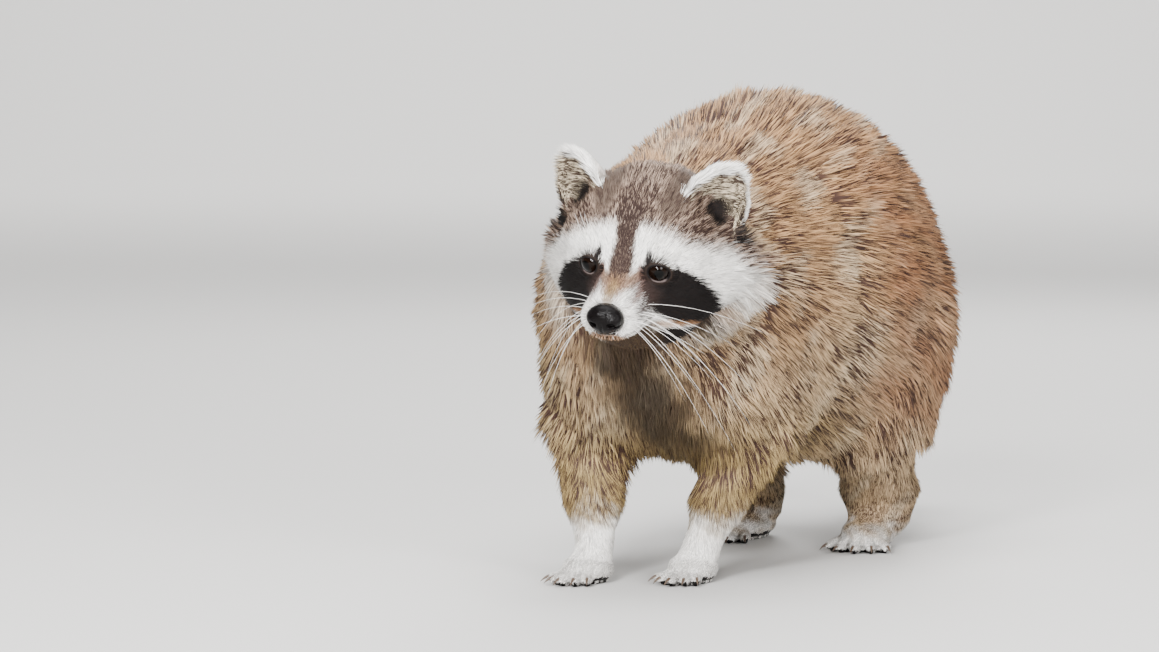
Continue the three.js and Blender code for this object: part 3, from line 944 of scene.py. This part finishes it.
# painted reflection: where the pale line of the wet lower lid rim is painted
lid_reflection = smoothstep(0.7, 0.2, np.abs(lid_distance - 0.3)) * lid_below
add_colors(skin_mesh, "Coat", skin_color)
add_values(skin_mesh, "Bare", bare)
add_values(skin_mesh, "Lid Reflection", lid_reflection)
piece_of("skin", skin_mesh, skin_material, "flank", *FLESH)
print("bare points:", (bare > 0.5).sum())

# %% [markdown]
# ## Where the tufts root
# Tufts stand closest on the face and feet, where they are short and fine, and further apart on the
# back, where each is long enough to cover its neighbours' roots. Walking over the skin's triangles in
# order, and dropping a root each time enough area has gone by, spreads them evenly at any closeness.

# %% Scatter the roots
a, b, c = (skin[triangles[:, i]] for i in range(3))
area = np.linalg.norm(np.cross(b - a, c - a), axis=1) / 2
fringe = on("forearm") * smoothstep(28, 70, height) * smoothstep(0.1, 0.7, skin_normals[:, 1])
LENGTHS = {  # in millimetres
    "forearm": 3.0 + 2.3 * depth + 12 * fringe,
    "shank": 4.0 + 20 * smoothstep(18, 75, height),
    "thigh": 24 + 18 * smoothstep(60, 110, height),
    "hand foot": 2.6 + 3 * smoothstep(10, 24, height),
}
length = evened(by_part(2.4 + 1.5 * depth, LENGTHS), edges, 4)
lift = evened(np.where(on("shank forearm"), 0.5, 1.0), edges, 12)  # how far hair stands off, as a share
for side, s in SIDES.items():
    within = 10 - 6 * smoothstep(2, 18, in_ear(skin_local, s)[:, 0] * s)
    length = by_part(length, {f"ear_{side}": np.where(in_cup(skin_normals, s), within, 4.2)})
    length = np.where(ear_hole(skin_local, s) > 0.3, 2.0, length)
spacing = 0.65 + 0.02 * np.maximum(length - 4, 0)  # millimetres between roots
spacing = np.where(on("ear") & (length > 5), 0.95, spacing)
furless = (bare > 0.35) | (lid_distance < 1.0) | (lips < 0.8) | (outline[:, 2] < 1.5 * mm)
furless |= np.linalg.norm((skin_local - NOSE_AT) / (12.9, 9.0, 10.7), axis=1) < 1  # under the nose


def scattered(closeness):
    """Random places, as (triangle, corner weights), `closeness` to the square metre at each vertex."""
    load = closeness[triangles].mean(1) * area
    steps = np.cumsum(load)
    count = int(steps[-1])
    chosen = np.searchsorted(steps, np.arange(count) + rng.random(count))
    chosen = np.minimum(chosen, len(triangles) - 1)
    u, v = np.sqrt(rng.random(count)), rng.random(count)
    return chosen, np.stack([1 - u, u * (1 - v), u * v], axis=1)


def at(places, values):
    """The values at scattered places, blended from the corners of their triangles."""
    chosen, weights = places
    corners = values[triangles[chosen]]
    return np.einsum("ij,ij...->i...", weights, corners)


places = scattered(np.where(furless, 0, 1 / (spacing * mm) ** 2))
print("tufts:", len(places[0]))

# %% [markdown]
# ## Locks
# Neighbouring hairs lean on each other and end in shared points. A second, sparser scatter gives the
# middle of each lock, and every tuft's tip is drawn part of the way to the tip of its nearest lock.

# %% Grow direction, length and lock of every tuft


def grown(places, jitter, rise_range, reach=1.0):
    """Root, normal, lie, rise and run for tufts at these places."""
    root, normal = at(places, skin), unit(at(places, skin_normals))
    lie = at(places, flow) + rng.normal(size=root.shape) * jitter
    lie = unit(lie - normal * dot(lie, normal)[:, None])
    long = at(places, length) * rng.uniform(0.82, 1.12, len(root)) * mm * reach
    ridges = 1 + 0.16 * drift(root, 0.02, 21)
    raised = at(places, lift)
    rise = at(places, depth) * rng.uniform(*rise_range, len(root)) * ridges * raised * mm
    rise = np.clip(rise, 0.25 * raised * long, 0.8 * long)
    run = np.sqrt(long**2 - rise**2)
    return root, normal, lie, rise, run


lock_places = scattered(np.where(furless, 0, 1 / ((1.0 + 0.048 * length) * mm) ** 2))
lock_root, lock_normal, lock_lie, lock_rise, lock_run = grown(lock_places, 0.2, (0.75, 1.0))
lock_tip = lock_root + lock_normal * lock_rise[:, None] + lock_lie * lock_run[:, None]
lock_tone = rng.random(len(lock_root))
streakiness = np.where(on("head ear"), 0.6, 0.32)  # how far the hairs of a lock share one tone
lock_tree = KDTree(len(lock_root))
for i, place in enumerate(lock_root.tolist()):
    lock_tree.insert(place, i)
lock_tree.balance()


TIPS_LOW, HAIR_LOW = 0.5 * mm, 0.1 * mm  # no tip, and no part of a hair, is lower than this


def tufts(places, jitter, rise_range, reach, thickness, lean):
    """All that is needed to build the tufts rooted at these places, by name."""
    root, normal, lie, rise, run = grown(places, jitter, rise_range, reach)
    long = np.hypot(rise, run)
    lock = np.array([lock_tree.find(p)[1] for p in root.tolist()])
    own_tip = root + normal * rise[:, None] + lie * run[:, None]
    pull = lean * smoothstep(2 * mm, 20 * mm, long) * rng.uniform(0.6, 1.0, len(root))
    tip = mixed(own_tip, lock_tip[lock], pull)
    tip[:, 2] = np.maximum(tip[:, 2], TIPS_LOW)
    streaky = at(places, streakiness)
    tone = (1 - streaky) * rng.random(len(root)) + streaky * lock_tone[lock]
    tone = np.clip(0.5 + 1.2 * (tone - 0.5), 0, 1)
    width = (thickness + 0.0075 * long / mm) * rng.uniform(0.75, 1.25, len(root)) * mm
    part = part_of[triangles[places[0], 0]]
    seen_at = root + normal * (0.7 * rise)[:, None] + lie * (0.45 * run)[:, None]
    seen_at += rng.normal(size=seen_at.shape) * 0.7 * mm
    color, grizzle = coat_colours(seen_at, normal, part)
    tone = np.clip(tone - np.maximum(grizzle - 1, 0), 0, 1)
    grizzle = np.minimum(grizzle, 1)
    shape = {"root": root, "tip": tip, "normal": normal, "lie": lie, "rise": rise, "run": run}
    looks = {"width": width, "tone": tone, "color": color, "grizzle": grizzle}
    return shape | looks | {"places": places, "part": part}


# %% Grow the coat and its guard hairs
GUARDED = 12  # millimetres: shorter fur has no guard hairs
GUARDS_APART = 3.1 * mm

coat = tufts(places, 0.13, (0.6, 1.0), 1.0, 0.29, 0.65)
guard_closeness = np.where(furless | (length < GUARDED), 0, 1 / GUARDS_APART**2)
guards = tufts(scattered(guard_closeness), 0.17, (0.85, 1.1), 1.12, 0.22, 0.35)
guards["tone"] = np.where(rng.random(len(guards["tone"])) < 0.65, 0.9, 0.05)
print("locks:", len(lock_root), "tufts:", len(coat["root"]), "guard hairs:", len(guards["root"]))

# %% [markdown]
# ## From tufts to meshes
# Most tufts are blades: a point at the root, a broad middle that is raised a little, and a point at the
# tip. That is the simplest closed solid with a bend in it, only four faces, so the coat can be dense.
# Guard hairs are fewer, longer and rounder: a three-sided spike that bends half way, of ten faces.
# Stored normals lean towards the skin's own, so light falls over the coat as a whole.

# %% Build one coat mesh from many tufts
UV_PATCH = 0.0014  # half the side of a tuft's patch on its map
BLADE = np.array([(0, 2, 1), (2, 3, 1), (0, 1, 3), (0, 3, 2)])
TUBE = [(1, 0, 3), (1, 3, 4), (2, 1, 4), (2, 4, 5), (0, 2, 5), (0, 5, 3)]
SPIKE = np.array([(0, 1, 2), *TUBE, (4, 3, 6), (5, 4, 6), (3, 5, 6)])


def ring_of(centre, side, up, half):
    half = half[:, None]
    return [centre - side * half, centre + side * half, centre + up * half]


def tuft_mesh(name, grown, chosen, faces, uv):
    """One mesh of the chosen tufts, all blades or all spikes."""
    n, f, r, t, rise, run = (grown[key][chosen] for key in ("normal", "lie", "root", "tip", "rise", "run"))
    way = unit(t - r)
    side = unit(np.cross(way, n))
    up = np.cross(side, way)
    half = grown["width"][chosen] / 2
    base = r - n * 0.5 * mm
    middle = r + n * (0.7 * rise)[:, None] + f * (0.42 * run)[:, None]
    middle = mixed(middle, (r + t) / 2, 0.45)
    if faces is BLADE:
        rings = [base, middle - side * half[:, None], middle + side * half[:, None], t]
        shading = [n, unit(n * 0.6 - side * 0.4), unit(n * 0.6 + side * 0.4), unit(n * 0.75 + way * 0.25)]
        along, across = [0, 0.5, 0.5, 1], [0, -1, 1, 0]
    else:
        rings = ring_of(base, side, up, half * 0.8) + ring_of(middle, side, up, half) + [t]
        spread = [-side * 0.8 + up * 0.3, side * 0.8 + up * 0.3, up]
        shading = [unit(n * 0.5 + s * 0.5) for s in spread * 2] + [unit(n * 0.7 + way * 0.3)]
        along, across = [0, 0, 0, 0.5, 0.5, 0.5, 1], [-1, 1, 0, -1, 1, 0, 0]
    points = np.stack(rings, axis=1)
    points[..., 2] = np.maximum(points[..., 2], HAIR_LOW)
    count, corners = points.shape[:2]
    triangles_all = (np.arange(count)[:, None, None] * corners + faces[None]).reshape(-1, 3)
    mesh = mesh_from(name, points.reshape(-1, 3), triangles_all)
    add_values(mesh, "Along", np.tile(along, count).astype(float))
    for stored in ("tone", "grizzle"):
        add_values(mesh, stored.title(), np.repeat(grown[stored][chosen], corners))
    add_colors(mesh, "Coat", np.repeat(grown["color"][chosen], corners, axis=0))
    add_values(mesh, "custom_normal", np.stack(shading, axis=1), "vector")
    patch = np.stack([np.array(across), np.array(along) * 2 - 1], axis=1) * UV_PATCH
    per_corner = (uv[:, None] + patch[None]).reshape(-1, 2)[triangles_all.ravel()]
    layer = mesh.uv_layers.new(name="OFBake")
    layer.data.foreach_set("uv", np.clip(per_corner, 0, 1).astype(np.float32).ravel())
    return mesh


# %% [markdown]
# ## Pieces of coat, each with its own map
# The coat is parted as the body is. For the finished model's textures, each piece has a map on which a
# tuft is a small patch at its root's place, on an unwrap of just the skin it grows from.

# %% Unwrap the skin under one piece


def unwrap_under(chosen_triangles):
    """Corner UVs, for these triangles of the skin, on an unwrap of their own."""
    used, compact = np.unique(triangles[chosen_triangles], return_inverse=True)
    patch = object_of("patch", mesh_from("patch", skin[used], compact.reshape(-1, 3)))
    bpy.ops.object.select_all(action="DESELECT")
    patch.select_set(True)
    bpy.context.view_layer.objects.active = patch
    patch.data.uv_layers.new(name="map")
    bpy.ops.object.mode_set(mode="EDIT")
    bpy.ops.mesh.select_all(action="SELECT")
    bpy.ops.uv.smart_project(angle_limit=math.radians(70), island_margin=0.006)
    bpy.ops.object.mode_set(mode="OBJECT")
    mesh = patch.data
    flat = np.empty(len(chosen_triangles) * 6, np.float32)
    mesh.uv_layers[0].data.foreach_get("uv", flat)
    bpy.data.objects.remove(patch)
    bpy.data.meshes.remove(mesh)
    return flat.reshape(-1, 3, 2)


# %% Make the coat piece by piece
PIECES = {
    "muzzle": "muzzle lower_jaw",
    "head": "head",
    "ears": "ear",
    "neck": "neck",
    "chest": "chest shoulder",
    "belly": "belly",
    "rump": "rump",
    "thighs": "thigh",
    "forelegs": "forearm hand",
    "hindlegs": "shank foot",
    "tail": "tail",
}
MOST_FACES = 190_000
SHORT_PIECES = ("muzzle", "ears")
part_of_triangle = part_of[triangles[:, 0]]
coat_faces = 0
for piece, beginnings in PIECES.items():
    here = members(beginnings)
    material = short_fur if piece in (*SHORT_PIECES, "head") else long_fur
    slot = "face" if piece in SHORT_PIECES else "back"
    corner_uv = np.full((len(triangles), 3, 2), 0.5, np.float32)
    under = np.flatnonzero(np.isin(part_of_triangle, here))
    corner_uv[under] = unwrap_under(under)
    for word, grown_set, faces in (("fur", coat, BLADE), ("guard", guards, SPIKE)):
        mine = np.flatnonzero(np.isin(grown_set["part"], here))
        if not len(mine):
            continue
        chosen_triangles, weights = (values[mine] for values in grown_set["places"])
        uv = np.einsum("ij,ijk->ik", weights, corner_uv[chosen_triangles])
        parts = math.ceil(len(mine) * len(faces) / MOST_FACES)
        for number, some in enumerate(np.array_split(np.arange(len(mine)), parts), 1):
            name = f"coat_{piece}_{word}" + (f"_{number}" if parts > 1 else "")
            piece_of(name, tuft_mesh(name, grown_set, mine[some], faces, uv[some]), material, slot)
            coat_faces += len(some) * len(faces)
            print(f"{name}: {len(some)} tufts")
print("coat faces:", coat_faces)

# %% [markdown]
# ## Eyes
# A raccoon's eye is nearly all dark iris. The ball is a fine sphere with a cornea that stands a little
# proud in front, and how far a point is from the line of sight tells pupil, iris and rim apart. Its
# surface is almost a mirror, which gives the wet highlight.

# %% Make the eyes
eye_material, kit, shader = new_material("wet dark eye")
off_axis = kit.stored("Off axis")
fibre = kit.ramp(kit.noise(700.0, 4.0), 0.3, 0.7)
iris = kit.mix(fibre, (0.007, 0.003, 0.0015, 1), (0.003, 0.0015, 0.001, 1))
seen = kit.mix(kit.ramp(off_axis, 0.36, 0.42), (0.0004, 0.0004, 0.0004, 1), iris)
seen = kit.mix(kit.ramp(off_axis, 0.78, 0.92), seen, (0.002, 0.0012, 0.001, 1))
kit.fill(shader, {"Base Color": seen, "Roughness": 0.03, "Specular IOR Level": 0.12})

CORNEA = {"stands": 0.05, "narrow": 1.9}  # how far it stands out, as a share, and how tight it curves
for side in SIDES:
    bm = bmesh.new()
    bmesh.ops.create_uvsphere(bm, u_segments=64, v_segments=40, radius=EYE_RADIUS * mm)
    sight = Vector((HEAD_AXES @ SIGHT[side]).tolist())
    bmesh.ops.rotate(bm, verts=bm.verts, cent=(0, 0, 0), matrix=sight.to_track_quat("Z", "Y").to_matrix())
    angles = []
    for vertex in bm.verts:
        angle = vertex.co.angle(sight)
        vertex.co *= 1 + CORNEA["stands"] * max(0.0, math.cos(min(angle * CORNEA["narrow"], math.pi / 2)))
        angles.append(angle)
    mesh = mesh_of(f"eyeball_{side}", bm)
    add_values(mesh, "Off axis", np.array(angles))
    mesh.transform(Matrix.Translation(middle_of(f"eye_{side}").tolist()))
    piece_of(f"eyeball_{side}", mesh, eye_material, "eye", f"eye_{side}")
print("eyeballs:", ", ".join(SIDES))

# %% [markdown]
# ## Nose
# The nose leather is a rounded pad, flatter on top and narrower below, with a comma of a nostril on each
# side and a groove down the middle. It starts as a fine sphere, and every point is moved by functions of
# its place. The surface is pebbled and moist.

# %% Make the nose
NOSE_SIZE = np.array([12.4, 8.6, 10.2])  # half sizes in the head's frame, in millimetres

leather_material, kit, shader = new_material("moist nose leather")
pebbles, blotch = kit.cells(1500.0), kit.noise(160.0, 3.0)
base = kit.mix(kit.ramp(blotch, 0.35, 0.7), (0.0012, 0.001, 0.001, 1), (0.004, 0.0026, 0.0028, 1))
surface = {
    "Base Color": kit.mix(kit.ramp(pebbles, 0.0, 0.25, 0.5, 0.0), base, (0.002, 0.002, 0.002, 1)),
    "Roughness": kit.ramp(blotch, 0.3, 0.7, 0.09, 0.17),
    "Specular IOR Level": 0.11,
    "Normal": kit.bump(pebbles, 0.3, 0.0002),
}
kit.fill(shader, surface)

bm = bmesh.new()
bmesh.ops.create_uvsphere(bm, u_segments=128, v_segments=80, radius=1)
nose_mesh = mesh_of("nose_leather", bm)
ball = points_of(nose_mesh)
x, y, z = ball.T
narrow = 1 - 0.24 * smoothstep(0.1, -1.0, z) - 0.10 * smoothstep(0.4, 1.0, z)
shaped = np.stack([x * narrow, y, z], axis=1) * NOSE_SIZE
front = smoothstep(0.1, -0.5, y)
for s in SIDES.values():
    bowl = np.hypot((x * s - 0.5) / 0.25, (z + 0.12) / 0.2)
    slit = np.hypot((x * s - 0.78) / 0.26, (z + 0.3 - 0.25 * (x * s - 0.78)) / 0.09)
    shaped[:, 1] += 3.4 * (1 - smoothstep(0.35, 1.15, np.minimum(bowl, slit))) * front
    wing = np.hypot((x * s - 0.62) / 0.34, (z - 0.1) / 0.3)
    shaped[:, 1] -= 0.7 * (1 - smoothstep(0.4, 1.2, wing)) * front
shaped[:, 1] += 0.9 * (1 - smoothstep(0.0, 0.1, np.abs(x))) * smoothstep(0.2, -0.3, z) * front
move_points(nose_mesh, from_head(shaped + in_head(middle_of("nose"))))
piece_of("nose_leather", nose_mesh, leather_material, "leather", "nose")
print("nose width:", NOSE_SIZE[0] * 2, "mm")

# %% [markdown]
# ## Claws
# Five claws on each foot, curved, grow from the toe tips. The mounts of the
# imported record say where each foot stands, and the toes fan out from there at even angles.

# %% Claws
claw_material, kit, shader = new_material("horn of the claws")
horn = kit.mix(kit.noise(500.0), (0.03, 0.02, 0.014, 1), (0.14, 0.095, 0.065, 1))
kit.fill(shader, {"Base Color": horn, "Roughness": 0.35})

CLAW = {"length": 9.5, "radius": 1.5, "height": 5.6, "sides": 10, "rings": 9}  # the first three in mm
SHORTER = 0.16  # each toe away from the middle one is shorter by this share


def tube_mesh(name, lines, sides):
    """Closed tapering tubes. Each line is a list of (point, radius), and the last point is a tip."""
    points, faces = [], []
    turns = [2 * math.pi * k / sides for k in range(sides)]
    for line in lines:
        centres = np.array([p for p, _ in line])
        start, rings = len(points), len(line) - 1
        for (centre, radius), way in zip(line[:-1], unit(np.gradient(centres, axis=0))):
            a = unit(np.cross(way, (0.3, 0.2, 1.0) if abs(way[2]) < 0.9 else (1.0, 0.2, 0)))
            b = np.cross(way, a)
            points += [centre + (a * math.cos(turn) + b * math.sin(turn)) * radius for turn in turns]
        points += [centres[-1], centres[0]]
        last, first = len(points) - 2, len(points) - 1
        for k in range(sides):
            after = (k + 1) % sides
            faces.append((first, start + after, start + k))
            for ring in range(start, start + (rings - 1) * sides, sides):
                i, j = ring + k, ring + after
                faces += [(i, j, j + sides), (i, j + sides, i + sides)]
            end = start + (rings - 1) * sides
            faces.append((end + k, end + after, last))
    return mesh_from(name, np.array(points), np.array(faces))


claw_lines = []
for foot, (pad, toe, turn) in STANCE.items():
    for place in range(-2, 3):
        fan = math.radians(place * TOE_FAN + turn)
        out = np.array([math.sin(fan), -math.cos(fan), 0])
        reach = pad * TOES_START + toe * (1 - SHORTER * abs(place))
        start = soles[foot] + out * (reach + 0.5) * mm + np.array([0, 0, CLAW["height"] * mm])
        line = []
        for t in np.linspace(0, 1, CLAW["rings"]):
            sink = -5.0 * t**2 + 1.2 * t
            centre = start + out * (t - 0.3) * CLAW["length"] * mm + np.array([0, 0, sink * mm])
            line.append((centre, CLAW["radius"] * (1 - t) ** 0.7 * mm))
        claw_lines.append(line)
claw_mesh = tube_mesh("claws", claw_lines, CLAW["sides"])
piece_of("claws", claw_mesh, claw_material, "leather")
print("claws:", len(claw_lines), "lowest at", (points_of(claw_mesh)[:, 2].min() / mm).round(2), "mm")

# %% [markdown]
# ## Whiskers
# Stiff white hairs stand in rows on the sides of the muzzle and sag under their own weight, and a few
# more grow over each eye. They are far longer and smoother than fur, so each is a fine tapering tube.

# %% Whiskers
whisker_material, kit, shader = new_material("white whiskers")
white = kit.mix(kit.noise(60.0), (0.82, 0.78, 0.72, 1), (0.95, 0.94, 0.92, 1))
kit.fill(shader, {"Base Color": white, "Roughness": 0.35})

ROWS, IN_ROW, OVER_EYE = 3, 4, 3
SUNK = 1.0 * mm  # how deep a whisker starts
face_tree = BVHTree.FromPolygons(skin.tolist(), triangles.tolist())
whisker_lines = []
for s in SIDES.values():
    sideways = Vector((HEAD_AXES @ (-s, 0, 0)).tolist())
    for row in range(ROWS):
        for number in range(IN_ROW):
            back = number / (IN_ROW - 1)
            spot = (13 * s, -70 + 20 * back + rng.uniform(-2, 2), -8.5 - 4.0 * row + rng.uniform(-1, 1))
            beside = from_head(np.add(spot, (40 * s, 0, 0)))
            found, _, _, _ = face_tree.ray_cast(Vector(beside.tolist()), sideways)
            if found is None:
                continue
            out = (0.9 * s, 0.1 + 0.5 * back, -0.22 - 0.3 * row + rng.uniform(-0.15, 0.15))
            out = HEAD_AXES @ unit(np.array(out))
            reach = (44 + 40 * back + rng.uniform(-10, 10)) * mm
            swept, sag = 0.14 * reach, (0.3 + 0.14 * row) * reach
            line = []
            for t in np.linspace(0, 1, 9):
                centre = np.array(found) + out * (t * reach - SUNK) + np.array([0, swept, -sag]) * t**2
                line.append((centre, (rng.uniform(0.12, 0.16) * (1 - t) ** 0.8 + 0.015) * mm))
            whisker_lines.append(line)
    out = unit(HEAD_AXES @ (0.25 * s, -0.35, 0.9))
    curl = HEAD_AXES @ (0.1 * s, 0.5, -0.1) * 22 * mm
    for number in range(OVER_EYE):
        start = from_head(np.array([(19 + 3.5 * number) * s, -27 + number, 20 - 0.6 * number]))
        found, _, _, _ = face_tree.find_nearest(Vector(start.tolist()))
        line = []
        for t in np.linspace(0, 1, 7):
            centre = np.array(found) + out * (26 * mm * t - SUNK) + curl * t**2
            line.append((centre, (0.2 * (1 - t) ** 0.8 + 0.015) * mm))
        whisker_lines.append(line)
whisker_mesh = tube_mesh("whiskers", whisker_lines, 5)
piece_of("whiskers", whisker_mesh, whisker_material, "white")
print("whiskers:", len(whisker_lines))

# %% [markdown]
# ## How far the coat stands proud of the solids is measured and printed.
# The coat may stand a few millimetres proud of the solids, and no more.

# %% Finish
low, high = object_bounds()
over = max(max(cad_low[i] - low[i], high[i] - cad_high[i]) for i in range(3))
print("stands proud of the solids by", round(over / mm, 1), "mm")
